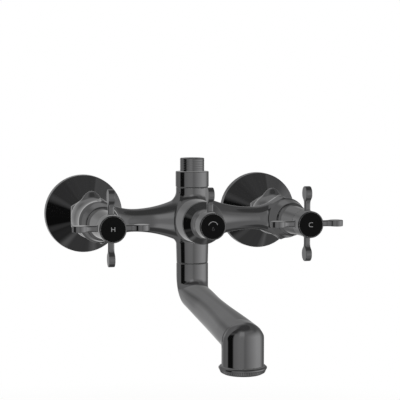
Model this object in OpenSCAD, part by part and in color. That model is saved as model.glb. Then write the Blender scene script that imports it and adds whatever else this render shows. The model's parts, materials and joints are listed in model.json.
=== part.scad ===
/* [Overall] */
// Distance between the hot and the cold inlet
inlet_pitch = 150; // [140:1:180]
// Distance from the wall to the body's upright axis
wall_gap = 76; // [75.5:0.1:100]
// How far the faces of the hot and cold caps stand in front of the body's axis
handle_reach = 68.2; // [60:0.1:85]
// How far the face of the diverter's cap stands in front of the body's axis
diverter_reach = 65.3; // [62:0.1:85]
// How far the spout's outlet lies in front of the body's axis
spout_reach = 144.7; // [110:0.1:200]

/* [Body casting] */
// Diameter of each arm where it is thinnest
arm_d = 17.7; // [16:0.1:21.5]
// Radius of the long sweep from an arm up to the middle of the casting
arm_sweep_r = 84; // [70:1:110]
// Distance from the body's axis at which that sweep ends
arm_sweep_x = 47.5; // [42:0.5:52]
// Radius of the shorter sweep from an arm out to its end
end_sweep_r = 38; // [34:1:48]
// Distance from an end's axis at which the shorter sweep starts
end_sweep_x = 27.5; // [24:0.5:30]
// Diameter of the upright neck
neck_d = 25.5; // [22:0.1:31]
// Height of the neck's top above the handles' axis
neck_top = 25.2; // [24:0.1:34]
// Depth of the neck's bottom below the handles' axis
neck_bottom = 33.9; // [31:0.1:45]
// Diameter of the round boss that holds the diverter
boss_d = 34; // [32:0.1:41]
// How far the boss's rim stands in front of the body's axis
boss_rim = 36; // [34:0.1:38]
// Largest diameter of the round end that takes the inlet
bulb_d = 34.6; // [33:0.1:42]
// Distance from the body's axis back to the seat of the union nut
bulb_end = 38.4; // [34:0.1:38.6]
// How far each bell's rim stands in front of the body's axis
bell_rim = 9.4; // [8.6:0.1:10.5]
// Diameter of each bell's nose, where the bonnet goes in
snout_d = 25.2; // [24:0.1:30.5]
// How far each bell's nose stands in front of the body's axis
snout_end = 24.6; // [24:0.1:28]
// Height of the cast knob on top of each end, above the handles' axis
knob_top = 21.1; // [20:0.1:24]

/* [Handles] */
// Distance across two opposite handle arms, tip to tip
handle_span = 56.8; // [47:0.2:68]
// Diameter of the handles' hubs
hub_d = 20.2; // [16.8:0.1:24.4]
// Length of the handles' hubs
hub_len = 14.8; // [14:0.1:17]
// Thickness of a handle arm
paddle_t = 4.7; // [3.5:0.1:6]
// Width of an arm's blade at its widest
paddle_w = 11; // [9:0.1:13.2]
// Width of an arm's stem
stem_w = 4.5; // [3:0.1:6]
// Distance from the cap's face back to the middle of the arms
arm_setback = 9.4; // [8.5:0.1:9.6]
// Width of the hub's rim around the index cap
cap_rim = 0.95; // [0.7:0.05:3]

/* [Bonnets] */
// Width of the dark groove between a bonnet and the nose it goes into
bonnet_groove = 0.9; // [0.4:0.1:1.4]
// Step from the boss's rim in to the foot of the diverter's bonnet
flare_step = 0.4; // [0:0.1:1.5]
// Height of the flare on the diverter's bonnet
flare_h = 6.4; // [5:0.1:8]

/* [Spout] */
// Diameter of the spout's level part where it is thinnest
spout_waist_d = 21.8; // [20:0.1:24.5]
// Diameter of the spout's level part next to the outlet
spout_end_d = 25.6; // [25:0.1:28]
// Length of the upright part, from the swivel seam to the bend
spout_drop = 8.9; // [7:0.1:30]
// Radius of the inside of the bend
bend_inner_r = 2; // [1:0.1:20]
// Angle that the spout turns through in the bend
bend_angle = 85.3; // [80:0.1:89]
// Diameter of the upright outlet at the spout's end
outlet_d = 28.9; // [27:0.1:36]
// Length of the outlet below the middle of its domed top
outlet_drop = 17.1; // [14:0.1:24]
// Step from the outlet out to the knurled ring round the aerator
ring_step = 2.05; // [0:0.05:4]
// Height of the knurled ring
ring_h = 5.5; // [5:0.1:8]
// Number of grooves in the knurled ring
knurls = 64; // [32:1:90]

/* [Shower outlet] */
// Step from the neck out to the collar above it
collar_step = 0.25; // [0:0.05:2]
// Height of the collar
collar_h = 12.5; // [11:0.1:18]
// Diameter of the threaded stub
stub_d = 19; // [18:0.1:21]
// Length of the stub above the collar
stub_h = 10.5; // [8:0.1:16]

/* [Wall fixing] */
// Diameter of the wall flanges
flange_d = 63.6; // [53:0.2:76.4]
// Depth of the wall flanges, front to back
flange_depth = 24.8; // [20:0.1:24.8]
// Length of the straight rim of a flange
flange_rim = 7.4; // [4:0.1:10]
// Thickness of the flange's spun sheet
flange_wall = 1.2; // [0.8:0.1:2]
// Wall of the union nut at the middle of a flat
nut_wall = 1.85; // [1.5:0.05:3]
// Length of the union nut
nut_len = 11.4; // [10:0.1:11.4]
// Diameter of the thread between nut and union, G 3/4
union_thread_d = 26.3; // [26.3:0.1:28]
// Diameter of the wall thread, G 1/2
wall_thread_d = 20.955; // [20.955:0.001:20.955]
// Length of the wall thread behind the wall's face
wall_thread_len = 12; // [8:0.5:20]

/* [Fits] */
// Radial clearance of a turning shaft in its bore
run_gap = 0.05; // [0.03:0.01:0.08]
// Gap between a handle and the fixed bonnet behind it
face_gap = 0.4; // [0.3:0.05:0.8]
// Clearance between pieces that are screwed or pushed together
seat_gap = 0.03; // [0.02:0.01:0.05]

/* [Hidden] */

// Circles that fits, mounts and joints depend on
round_fn = 96;
// Small circles on pieces that stay inside
small_fn = 48;
// Wide sweeps
sweep_fn = 240;
// Overlap that joins two volumes of one piece
bite = 0.5;

half_pitch = inlet_pitch / 2;
arm_r = arm_d / 2;
neck_r = neck_d / 2;
neck_foot_r = neck_r - 0.15;
boss_r = boss_d / 2;
boss_rim_r = boss_r - 0.6;
boss_back = 1.5;
bulb_r = bulb_d / 2;
bulb_mid = -15;
bulb_front_sweep = 190;
bulb_back_sweep = 88;
bell_r = bulb_r - bulb_front_sweep + sqrt(pow(bulb_front_sweep, 2) - pow(bell_rim - bulb_mid, 2));
bell_edge = 0.2;
mouth_sweep = 26;
snout_r = snout_d / 2;
knob_back = bulb_end - 8.5;

// Waterways and seats inside the body
arm_bore_r = 5.4;
neck_bore_r = 6.5;
chamber_r = 10.6;
valve_thread_r = 9.6;
thread_from = 12;
thread_to = snout_end - 5.4;
snout_recess_r = snout_r - 0.9;
seat_at = -6;
seat_wall = 3;
seat_hole_r = 5;
inlet_bore_r = 8;
tail_seat_r = 10.6;
tail_seat_len = 4.6;
tail_collar_r = 12;
tail_collar_t = 2.1;
diverter_bore_r = boss_rim_r - 3.4;
diverter_seat = boss_rim - 18;
mixed_port_r = 4.2;
port_r = 2.8;
port_out = 8;
port_from = 4;
outlet_bore_from = 8.8;
shower_thread_r = neck_r - 2.75;
shower_thread_h = 9;

// Valve stack, measured in front of the body's axis
disc_r = 7.2;
disc_t = 3;
disc_hole_r = 2.1;
disc_hole_out = 4;
seal_t = 2.2;
cage_r = 8.2;
cavity_r = disc_r + 0.1;
stem_r = 3.9;
stem_flat = 3.2;
flats_len = 6;
valve_neck_r = 7.2;
valve_hex_r = snout_recess_r - 0.5;
valve_hex_top = snout_end - 1.2;
valve_neck_top = handle_reach - 24.2;
fixed_disc_at = seat_at + seal_t;
moving_disc_at = fixed_disc_at + disc_t + run_gap;
driver_at = moving_disc_at + disc_t;
driver_t = 3.7;
driver_w = 3.6;
window_h = 6;
window_w = 9;

// Diverter stack
diverter_disc_r = diverter_bore_r - 1.9;
diverter_seal_t = 2;
diverter_neck_r = 8;
diverter_fixed_at = diverter_seat + diverter_seal_t;
diverter_moving_at = diverter_fixed_at + disc_t + run_gap;
diverter_driver_at = diverter_moving_at + disc_t;
diverter_driver_t = 1.4;
diverter_neck_top = diverter_reach - 20;

// Spindle seals and clips
seal_section = 0.5;
valve_seals = [valve_neck_top - 12, valve_neck_top - 8];
diverter_seals = [diverter_neck_top - 9, diverter_neck_top - 5];
clip_t = 0.8;
clip_r = 5.6;
clip_groove_r = 3.2;
valve_clip_at = valve_neck_top + 0.35;
diverter_clip_at = diverter_neck_top + 0.35;

// Handle stack, measured back from the cap's face
hub_r = hub_d / 2;
hub_edge = 0.9;
cap_r = hub_r - cap_rim;
cap_t = 1.9;
cap_recess = 2.1;
cap_grip = 1.8;
screw_r = 2;
screw_len = 8;
screw_head_r = 3.6;
screw_head_h = 2.2;
screw_seat = 6.7;
socket_key_r = 1.45;
counterbore_r = 4.4;
spindle_top = 8.4;
cross = [0, 90, 180, 270];

// Bonnets
bonnet_r = snout_recess_r - bonnet_groove;
bonnet_tip_r = hub_r - 0.1;
bonnet_wall = 1.5;
bonnet_from = valve_hex_top + seat_gap;
bonnet_to = handle_reach - hub_len - face_gap;
flare_from = boss_rim + run_gap;
flare_to = diverter_reach - hub_len - face_gap;
flare_r = boss_rim_r - flare_step;
flare_sweep = 9.5;

// Swivel, measured below the handles' axis
seam_gap = 0.5;
spout_r = neck_r - 0.25;
spout_top = -neck_bottom - seam_gap;
bend_z = spout_top - spout_drop;
bend_r = spout_r + bend_inner_r;
tail_r = spout_r - 3.1;
tail_hole_r = tail_r - 2.9;
tail_bore_top = -15;
tail_top = tail_bore_top - 0.6;
tail_bottom = bend_z + 0.9;
tail_seal_section = 0.6;
tail_seals = [-18.4, -28.4];
tail_groove_z = -23.2;
tail_groove_w = 3.4;
tail_groove_r = tail_r - 1.8;
grub_r = 2;
grub_tip_r = 1.3;

// The spout's route: down, round the bend, then out to the outlet
bend_end_y = -bend_r * (1 - cos(bend_angle));
bend_end_z = bend_z - bend_r * sin(bend_angle);
run_len = (spout_reach + bend_end_y) / sin(bend_angle);
waist_r = max(spout_waist_d / 2, spout_r - 2.2);
waist_at = 0.36 * run_len;
spout_end_r = waist_r + (spout_end_d - spout_waist_d) / 2;
spout_bore_r = waist_r - 2.3;
bend_bore_r = spout_bore_r - 0.1;
outlet_dip = 1.35;
outlet_z = bend_end_z - run_len * cos(bend_angle) - outlet_dip;
outlet_end_z = outlet_z - outlet_drop;
outlet_r = max(outlet_d / 2, waist_r + 3.5);
outlet_wall = 2.6;
outlet_bore_r = outlet_r - 1.45;
outlet_bore_h = 9;

// Aerator, measured up from the outlet's lower edge
ring_r = outlet_r + ring_step;
ring_bevel = 1;
ring_taper = 0.7;
bead_h = 1.9;
knurl_floor_r = ring_r - ring_taper - 0.35;
sleeve_h = 7.6;
sleeve_r = outlet_bore_r - seat_gap;
sleeve_bore_r = outlet_bore_r - 1.8;
insert_r = sleeve_bore_r - seat_gap;
insert_from = -ring_h + 2.2;
insert_floor = 3;
insert_wall = 1.4;
screen_t = 0.5;
screen_from = sleeve_h - screen_t;
lip_r = sleeve_bore_r - 1;
grid_step = 3;
grid_hole = 2.2;
grid_reach = 4;
outlet_washer_t = 1.3;

// Shower outlet, measured above the handles' axis
collar_seal_t = 0.3;
collar_bottom = neck_top + collar_seal_t;
collar_top = neck_top + collar_h;
collar_r = neck_r + collar_step;
collar_edge = 0.4;
stub_r = stub_d / 2;
stub_edge = 0.6;
nipple_thread_r = stub_r - 0.9;
nipple_in = 9;
nipple_seal_t = 1.2;

// Wall side, measured behind the body's axis
nut_front = bulb_end + 0.4;
nut_lip = 2;
nut_edge = 1.1;
washer_front = bulb_end + tail_seat_len;
washer_t = 2;
union_front = washer_front + washer_t;
union_thread_r = union_thread_d / 2;
union_thread_len = max(14, wall_gap - flange_depth - union_front + 4.4);
union_hex_r = (union_thread_r + 0.4) / cos(30);
union_hex_len = 5;
union_bore_r = 6.6;
nut_corner_r = (union_thread_r + nut_wall) / cos(30);
wall_thread_r = wall_thread_d / 2;
flange_r = flange_d / 2;
flange_front = wall_gap - flange_depth;
flange_front_r = union_thread_r + 2.85;
flange_hole_r = union_thread_r + 0.15;

hot = -half_pitch;
cold = half_pitch;

// Centre of the circle of radius r through p and q; bow, 1 or -1, picks the side
function arc_centre(p, q, r, bow) =
    let (d = q - p, half = norm(d) / 2)
    (p + q) / 2 + bow * sqrt(r * r - half * half) * [-d[1], d[0]] / norm(d);

// Puts the origin where the spout's axis meets the plane of the handles' axes
module on_body(x = 0) {
    translate([x, -wall_gap, 0]) children();
}

// The same origin, with +Z towards the user and +Y up
module facing(x = 0) {
    on_body(x) rotate([90, 0, 0]) children();
}

// The same origin, with +Z towards the wall
module rearward(x = 0) {
    facing(x) rotate([0, 180, 0]) children();
}

// A cylinder between two heights
module span(r, from, to, fn = round_fn) {
    translate([0, 0, from]) cylinder(r = r, h = to - from, $fn = fn);
}

// A cone between two heights
module taper(r_from, r_to, from, to) {
    translate([0, 0, from]) cylinder(r1 = r_from, r2 = r_to, h = to - from, $fn = round_fn);
}

// A plain ring between two heights
module ring(outer, inner, from, to) {
    difference() {
        span(outer, from, to);
        span(inner, from - 1, to + 1);
    }
}

// O-rings whose outsides lie at the radius outer
module o_rings(outer, section, heights) {
    for (h = heights) translate([0, 0, h])
        rotate_extrude($fn = round_fn) translate([outer - section, 0]) circle(r = section, $fn = 32);
}

// One arm: a long sweep from the middle of the casting, then straight into the end
module arm_solid() {
    rotate([0, 90, 0]) {
        rotate_extrude($fn = round_fn) difference() {
            square([boss_r, arm_sweep_x]);
            translate([arm_r + arm_sweep_r, arm_sweep_x]) circle(r = arm_sweep_r, $fn = sweep_fn);
        }
        span(arm_r, arm_sweep_x - bite, half_pitch - 1);
    }
}

// The flare where an arm meets its end, kept behind the bell's rim
module arm_end_flare() {
    from = half_pitch - end_sweep_x;
    reach = end_sweep_x + 4;
    intersection() {
        rotate([0, 90, 0]) rotate_extrude($fn = round_fn) difference() {
            translate([0, from]) square([bulb_r, end_sweep_x - 3]);
            translate([arm_r + end_sweep_r, from]) circle(r = end_sweep_r, $fn = sweep_fn);
        }
        translate([half_pitch, 0, 0]) rotate([90, 0, 0]) rotate_extrude($fn = round_fn) polygon([
            [0, -bulb_r],
            [bulb_r - 2, -bulb_r],
            [reach, -arm_r],
            [reach, arm_r - bite],
            [bell_r - bell_edge, bell_rim - 0.1],
            [0, bell_rim - 0.1]
        ]);
    }
}

// The webs that round the four corners between the arms and the neck
module neck_webs() {
    web_r = 7;
    web_top = 21;
    web_x = neck_r + 0.1;
    web_out = web_x + 3.8;
    depth = 13;
    intersection() {
        rotate([0, 90, 0]) rotate_extrude($fn = round_fn) difference() {
            translate([0, -web_out]) square([web_top, 2 * web_out]);
            for (side = [1, -1]) translate([web_top, side * (web_x + web_r)])
                circle(r = web_r, $fn = round_fn);
        }
        rotate_extrude($fn = round_fn) difference() {
            translate([0, -web_top]) square([web_out, 2 * web_top]);
            for (side = [1, -1]) translate([web_x + web_r, side * web_top]) circle(r = web_r, $fn = round_fn);
        }
        rotate([90, 0, 0]) rotate_extrude($fn = round_fn) polygon([
            [0, -depth],
            [boss_r - bite, -depth],
            [norm([web_x, web_top]) - 0.2, 0],
            [boss_r - bite, depth],
            [0, depth]
        ]);
    }
}

// One end of the casting: a barrel, the bell mouth in front of it and the nut's seat behind
module end_solid() {
    rim = [bell_r - bell_edge, bell_rim];
    mouth = arc_centre(rim, [snout_r, snout_end], mouth_sweep, -1);
    tail_end = -bulb_end - tail_seat_len;
    rotate_extrude($fn = round_fn) {
        intersection() {
            translate([0, -bulb_end]) square([bulb_r, bulb_end + bell_rim]);
            translate([bulb_r - bulb_front_sweep, bulb_mid]) circle(r = bulb_front_sweep, $fn = 3 * sweep_fn);
            union() {
                translate([0, bulb_mid]) square([bulb_r, bulb_end]);
                translate([bulb_r - bulb_back_sweep, bulb_mid]) circle(r = bulb_back_sweep, $fn = sweep_fn);
            }
        }
        difference() {
            translate([0, bell_rim - bite]) square([rim[0], snout_end - bell_rim + bite]);
            translate(mouth) circle(r = mouth_sweep, $fn = sweep_fn);
        }
        translate([0, tail_end]) square([tail_seat_r, tail_seat_len + bite]);
        translate([0, tail_end]) square([tail_collar_r, tail_collar_t]);
    }
}

// The cast knob on top of each end: a round tip over a flared foot
module knob_solid() {
    tip_r = 3.2;
    foot_sweep = 12;
    tip_z = knob_top - tip_r;
    shoulder = [tip_r - 0.1, tip_z + 0.4];
    foot = [8.4, bulb_r - 4.7];
    base = foot[1] - 4;
    hollow = arc_centre(shoulder, foot, foot_sweep, 1);
    translate([0, knob_back, 0]) rotate_extrude($fn = round_fn) intersection() {
        translate([0, base]) square([foot[0], knob_top - base]);
        union() {
            translate([0, tip_z]) circle(r = tip_r, $fn = round_fn);
            difference() {
                translate([0, base]) square([foot[0], shoulder[1] - base]);
                translate(hollow) circle(r = foot_sweep, $fn = round_fn);
            }
        }
    }
}

// The hollows of one end, from the recess in the nose back to the inlet
module end_hollows() {
    span(snout_recess_r, thread_to, snout_end + 1);
    span(valve_thread_r, thread_from - bite, thread_to + bite);
    span(chamber_r, seat_at, thread_from);
    span(seat_hole_r, seat_at - seat_wall - bite, seat_at + bite);
    span(inlet_bore_r, -bulb_end - tail_seat_len - 1, seat_at - seat_wall);
}

// The hollows of the middle: the diverter's bore, its ports and the two outlets
module middle_hollows() {
    rotate([0, 90, 0]) span(arm_bore_r, -half_pitch, half_pitch);
    rotate([90, 0, 0]) {
        span(diverter_bore_r, diverter_seat, boss_rim + 1);
        span(mixed_port_r, 0, diverter_seat + bite, small_fn);
        for (side = [1, -1]) translate([0, side * port_out, 0])
            span(port_r, port_from, diverter_seat + bite, small_fn);
    }
    span(neck_bore_r, outlet_bore_from, neck_top + 1);
    span(shower_thread_r, neck_top - shower_thread_h, neck_top + 1);
    span(neck_bore_r, tail_bore_top - bite, -outlet_bore_from);
    span(tail_r + run_gap, -neck_bottom - 1, tail_bore_top);
    translate([0, 0, tail_groove_z]) rotate([-90, 0, 0]) span(grub_r + seat_gap, 0, neck_r + 1, small_fn);
}

module body() {
    color([0.33, 0.33, 0.34]) on_body() difference() {
        union() {
            for (side = [0, 1]) mirror([side, 0, 0]) {
                arm_solid();
                arm_end_flare();
                translate([half_pitch, 0, 0]) {
                    rotate([90, 0, 0]) end_solid();
                    knob_solid();
                }
            }
            neck_webs();
            taper(neck_foot_r, neck_r, -neck_bottom, -neck_bottom + 14);
            span(neck_r, -neck_bottom + 14 - 0.01, neck_top);
            rotate([90, 0, 0]) {
                translate([0, 0, boss_back]) sphere(r = boss_r, $fn = round_fn);
                taper(boss_r, boss_rim_r, boss_back, boss_rim);
            }
        }
        for (x = [hot, cold]) translate([x, 0, 0]) rotate([90, 0, 0]) end_hollows();
        middle_hollows();
    }
}

// Wall flange: a straight rim and a spun cone that closes round the union
module flange(x) {
    rim_at = wall_gap - flange_rim;
    shoulder = 0.5;
    color([0.2, 0.2, 0.21]) rearward(x) rotate_extrude($fn = round_fn) polygon([
        [flange_hole_r, flange_front],
        [flange_front_r, flange_front],
        [flange_r - shoulder, rim_at - shoulder / 2],
        [flange_r, rim_at + shoulder],
        [flange_r, wall_gap],
        [flange_r - flange_wall, wall_gap],
        [flange_r - flange_wall, rim_at + 2 * shoulder],
        [flange_front_r - shoulder, flange_front + 1.4 * flange_wall],
        [flange_hole_r, flange_front + 1.4 * flange_wall]
    ]);
}

// Wall union: the thread for the nut, a hexagon to turn it by, and the wall thread
module wall_union(x) {
    hex_from = union_front + union_thread_len;
    color([0.72, 0.6, 0.35]) rearward(x) difference() {
        union() {
            span(union_thread_r, union_front, hex_from);
            span(union_hex_r, hex_from, hex_from + union_hex_len, 6);
            span(wall_thread_r, hex_from, wall_gap + wall_thread_len);
        }
        span(union_bore_r, union_front - 1, wall_gap + wall_thread_len + 1);
    }
}

// Union nut: a hexagon with a corner up, chamfered at both ends
module union_nut(x) {
    back = nut_front + nut_len;
    lower = nut_edge * 0.6;
    color([0.38, 0.38, 0.39]) rearward(x) difference() {
        intersection() {
            rotate(30) span(nut_corner_r, nut_front, back, 6);
            rotate_extrude($fn = round_fn) polygon([
                [0, nut_front],
                [nut_corner_r - nut_edge, nut_front],
                [nut_corner_r + 0.1, nut_front + lower],
                [nut_corner_r + 0.1, back - lower],
                [nut_corner_r - nut_edge, back],
                [0, back]
            ]);
        }
        span(tail_seat_r + 0.1, nut_front - 1, nut_front + nut_lip + bite);
        span(union_thread_r + seat_gap, nut_front + nut_lip, back + 1);
    }
}

module inlet_washer(x) {
    color([0.12, 0.12, 0.12]) rearward(x)
        ring(tail_collar_r, inlet_bore_r, washer_front + seat_gap, union_front - seat_gap);
}

// Ceramic valve housing: cage, thread, hexagon and the neck that carries the spindle
module valve_body(x) {
    color([0.75, 0.62, 0.36]) facing(x) difference() {
        union() {
            span(cage_r, seat_at + 1, thread_from + bite);
            span(valve_thread_r - seat_gap, thread_from, thread_to + seat_gap);
            span(valve_hex_r, thread_to + seat_gap, valve_hex_top, 6);
            span(valve_neck_r, thread_to, valve_neck_top);
        }
        span(cavity_r, seat_at, driver_at + driver_t + 0.4);
        span(stem_r + run_gap, seat_at, valve_neck_top + 1);
        translate([0, 0, driver_at + window_h / 2]) cube([3 * cage_r, window_w, window_h], center = true);
    }
}

module seat_seal(x) {
    color([0.1, 0.1, 0.1]) facing(x) ring(disc_r, seat_hole_r + 0.3, seat_at, fixed_disc_at - seat_gap);
}

// Ceramic disc with two holes, which lie on a line turned by the angle turn
module ceramic_disc(from, turn) {
    rotate(turn) difference() {
        span(disc_r - seat_gap, from, from + disc_t);
        for (side = [1, -1]) translate([side * disc_hole_out, 0, 0])
            span(disc_hole_r, from - 1, from + disc_t + 1, small_fn);
    }
}

module fixed_disc(x) {
    color([0.93, 0.92, 0.88]) facing(x) ceramic_disc(fixed_disc_at, 0);
}

module moving_disc(x) {
    color([0.85, 0.84, 0.8]) facing(x) ceramic_disc(moving_disc_at, 90);
}

// Stem with two flats for the handle, grooves for seals and clip, and a tapped end
module stem(from, top, seals, clip_at) {
    groove = seal_section + 0.1;
    difference() {
        span(stem_r, from, top);
        for (side = [1, -1]) translate([side * (stem_flat + stem_r), 0, top - flats_len / 2])
            cube([2 * stem_r, 3 * stem_r, flats_len + 0.01], center = true);
        for (h = seals) ring(stem_r + 1, stem_r - 2 * seal_section - seat_gap, h - groove, h + groove);
        ring(stem_r + 1, clip_groove_r, clip_at, clip_at + clip_t);
        span(screw_r + seat_gap, top - screw_len - 1, top + 1, small_fn);
    }
}

// Valve spindle: the stem over a bar that turns the moving disc
module spindle(x) {
    color([0.78, 0.66, 0.4]) facing(x) union() {
        stem(driver_at + driver_t - bite, handle_reach - spindle_top, valve_seals, valve_clip_at);
        intersection() {
            span(disc_r - 0.2, driver_at, driver_at + driver_t);
            translate([0, 0, driver_at + driver_t / 2]) cube([3 * disc_r, driver_w, driver_t], center = true);
        }
        span(stem_r, driver_at + 2, driver_at + driver_t);
    }
}

module spindle_seals(x) {
    color([0.1, 0.1, 0.1]) facing(x) o_rings(stem_r, seal_section, valve_seals);
}

// Open clip in the stem's groove, which keeps the stem from being pushed out
module clip_solid(at) {
    mouth = 2 * clip_groove_r - 0.6;
    difference() {
        ring(clip_r, clip_groove_r + seat_gap, at + seat_gap, at + clip_t - seat_gap);
        translate([-mouth / 2, 0, at]) cube([mouth, 2 * clip_r, clip_t]);
    }
}

module spindle_clip(x) {
    color([0.5, 0.5, 0.5]) facing(x) clip_solid(valve_clip_at);
}

// Bonnet over a valve: a slim cone screwed to the valve's neck, with a lip round the stem
module bonnet(x) {
    color([0.4, 0.4, 0.41]) facing(x) difference() {
        taper(bonnet_r, bonnet_tip_r, bonnet_from, bonnet_to);
        span(valve_neck_r + seat_gap, bonnet_from - 1, valve_neck_top);
        span(bonnet_tip_r - bonnet_wall, valve_neck_top - 1, bonnet_to - bonnet_wall);
        span(stem_r + 0.5, bonnet_to - bonnet_wall - 1, bonnet_to + 1);
    }
}

// Outline of a handle arm: a slim stem that swells into a round blade; y runs outwards
module paddle_outline() {
    blade_r = paddle_w / 2;
    blade_y = handle_span / 2 - blade_r;
    sweep_r = 6;
    sweep_x = stem_w / 2 + sweep_r;
    sweep_y = blade_y - sqrt(pow(blade_r + sweep_r, 2) - sweep_x * sweep_x);
    touch_x = sweep_x * blade_r / (blade_r + sweep_r);
    touch_y = blade_y - (blade_y - sweep_y) * blade_r / (blade_r + sweep_r);
    translate([0, blade_y]) circle(r = blade_r, $fn = round_fn);
    translate([-stem_w / 2, hub_r - 2]) square([stem_w, blade_y - hub_r + 2]);
    difference() {
        polygon([
            [-sweep_x, sweep_y],
            [sweep_x, sweep_y],
            [touch_x, touch_y],
            [0, blade_y],
            [-touch_x, touch_y]
        ]);
        for (side = [1, -1]) translate([side * sweep_x, sweep_y]) circle(r = sweep_r, $fn = round_fn);
    }
}

// Handle: a hub with an arm at each of the given angles
module handle_solid(reach, angles) {
    back = reach - hub_len;
    socket_top = reach - spindle_top + 0.2;
    socket_r = stem_r + seat_gap;
    flat = stem_flat + seat_gap;
    difference() {
        union() {
            span(hub_r, back, reach - hub_edge);
            taper(hub_r, hub_r - hub_edge * 0.7, reach - hub_edge, reach);
            for (a = angles) translate([0, 0, reach - arm_setback]) rotate(a) rotate([0, 90, 0])
                linear_extrude(paddle_t, center = true) paddle_outline();
        }
        span(cap_r + seat_gap, reach - cap_recess, reach + 1);
        span(counterbore_r, reach - screw_seat, reach, small_fn);
        span(screw_r + 0.1, back - 1, reach, small_fn);
        span(socket_r, back - 1, socket_top - flats_len);
        intersection() {
            span(socket_r, back - 1, socket_top);
            translate([-flat, -hub_r, back - 1]) cube([2 * flat, 2 * hub_r, hub_len]);
        }
    }
}

// Screw that holds a handle on its stem, with a hexagon socket
module handle_screw_solid(reach) {
    seat = reach - screw_seat + seat_gap;
    difference() {
        union() {
            span(screw_r, seat - screw_len, seat, small_fn);
            span(screw_head_r, seat, seat + screw_head_h, small_fn);
        }
        span(socket_key_r, seat + 0.9, seat + screw_head_h + 1, 6);
    }
}

// Index cap: a disc with a short tube that grips the counterbore
module index_cap_solid(reach) {
    back = reach - cap_recess + seat_gap;
    span(cap_r, back, back + cap_t);
    ring(counterbore_r - seat_gap, counterbore_r - 0.9, back - cap_grip, back + bite);
}

module handle(x) {
    color([0.42, 0.42, 0.43]) facing(x) handle_solid(handle_reach, cross);
}

module handle_screw(x) {
    color([0.6, 0.6, 0.6]) facing(x) handle_screw_solid(handle_reach);
}

module index_cap(x) {
    color([0.05, 0.05, 0.05]) facing(x) index_cap_solid(handle_reach);
}

// Diverter housing: a cup over the discs and the neck that carries the spindle
module diverter_body() {
    cup_r = diverter_bore_r - seat_gap;
    cup_to = boss_rim - 0.3;
    color([0.75, 0.62, 0.36]) facing() difference() {
        union() {
            span(cup_r, diverter_seat + 0.6, cup_to);
            span(diverter_neck_r, cup_to - bite, diverter_neck_top);
        }
        span(diverter_disc_r + 0.1, diverter_seat, diverter_driver_at + diverter_driver_t + 0.4);
        span(stem_r + run_gap, diverter_seat, diverter_neck_top + 1);
    }
}

// Ports through a diverter plate: mixed water in the middle, an outlet above and below
module port_holes(from, to) {
    span(mixed_port_r, from, to, small_fn);
    for (side = [1, -1]) translate([0, side * port_out, 0]) span(port_r - 0.2, from, to, small_fn);
}

module diverter_port_seal() {
    color([0.1, 0.1, 0.1]) facing() difference() {
        span(diverter_disc_r, diverter_seat, diverter_fixed_at - seat_gap);
        port_holes(diverter_seat - 1, diverter_fixed_at + 1);
    }
}

module diverter_fixed_disc() {
    color([0.93, 0.92, 0.88]) facing() difference() {
        span(diverter_disc_r - seat_gap, diverter_fixed_at, diverter_fixed_at + disc_t);
        port_holes(diverter_fixed_at - 1, diverter_fixed_at + disc_t + 1);
    }
}

// Moving disc: one pocket from the middle to one side, which faces sideways while the lever is up
module diverter_moving_disc() {
    pocket_r = port_r - 0.3;
    from = diverter_moving_at - 1;
    to = diverter_moving_at + 2;
    color([0.85, 0.84, 0.8]) facing() difference() {
        span(diverter_disc_r - 0.3, diverter_moving_at, diverter_moving_at + disc_t);
        span(mixed_port_r, from, to, small_fn);
        translate([port_out, 0, 0]) span(pocket_r, from, to, small_fn);
        translate([0, -pocket_r, from]) cube([port_out, 2 * pocket_r, to - from]);
    }
}

module diverter_spindle() {
    color([0.78, 0.66, 0.4]) facing() union() {
        stem(diverter_driver_at + bite, diverter_reach - spindle_top, diverter_seals, diverter_clip_at);
        span(diverter_disc_r - 0.6, diverter_driver_at, diverter_driver_at + diverter_driver_t);
    }
}

module diverter_spindle_seals() {
    color([0.1, 0.1, 0.1]) facing() o_rings(stem_r, seal_section, diverter_seals);
}

module diverter_spindle_clip() {
    color([0.5, 0.5, 0.5]) facing() clip_solid(diverter_clip_at);
}

// Diverter bonnet: its foot flares out to the boss's rim
module diverter_bonnet() {
    foot = [flare_r, flare_from + 0.5];
    throat = [bonnet_tip_r + 0.9, flare_from + flare_h];
    sweep = arc_centre(foot, throat, flare_sweep, -1);
    color([0.3, 0.3, 0.31]) facing() difference() {
        rotate_extrude($fn = round_fn) difference() {
            polygon([
                [0, flare_from],
                [foot[0], flare_from],
                [foot[0], throat[1]],
                throat,
                [bonnet_tip_r, flare_to],
                [0, flare_to]
            ]);
            translate(sweep) circle(r = flare_sweep, $fn = round_fn);
        }
        span(diverter_neck_r + seat_gap, flare_from - 1, diverter_neck_top);
        span(bonnet_tip_r - bonnet_wall, diverter_neck_top - 1, flare_to - bonnet_wall);
        span(stem_r + 0.5, flare_to - bonnet_wall - 1, flare_to + 1);
    }
}

module diverter_lever() {
    color([0.42, 0.42, 0.43]) facing() handle_solid(diverter_reach, [0]);
}

module diverter_lever_screw() {
    color([0.6, 0.6, 0.6]) facing() handle_screw_solid(diverter_reach);
}

module diverter_index_cap() {
    color([0.05, 0.05, 0.05]) facing() index_cap_solid(diverter_reach);
}

// Collar above the neck: a bush screwed into the body that takes the threaded stub
module shower_collar() {
    bush_from = neck_top - shower_thread_h + 1;
    color([0.4, 0.4, 0.41]) on_body() difference() {
        union() {
            taper(collar_r - collar_edge, collar_r, collar_bottom, collar_bottom + collar_edge);
            span(collar_r, collar_bottom + collar_edge, collar_top - collar_edge);
            taper(collar_r, collar_r - collar_edge, collar_top - collar_edge, collar_top);
            span(shower_thread_r - seat_gap, bush_from, collar_bottom + bite);
        }
        span(neck_bore_r, bush_from - 1, collar_top);
        span(nipple_thread_r + seat_gap, collar_top - nipple_in - nipple_seal_t, collar_top + 1);
    }
}

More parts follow.
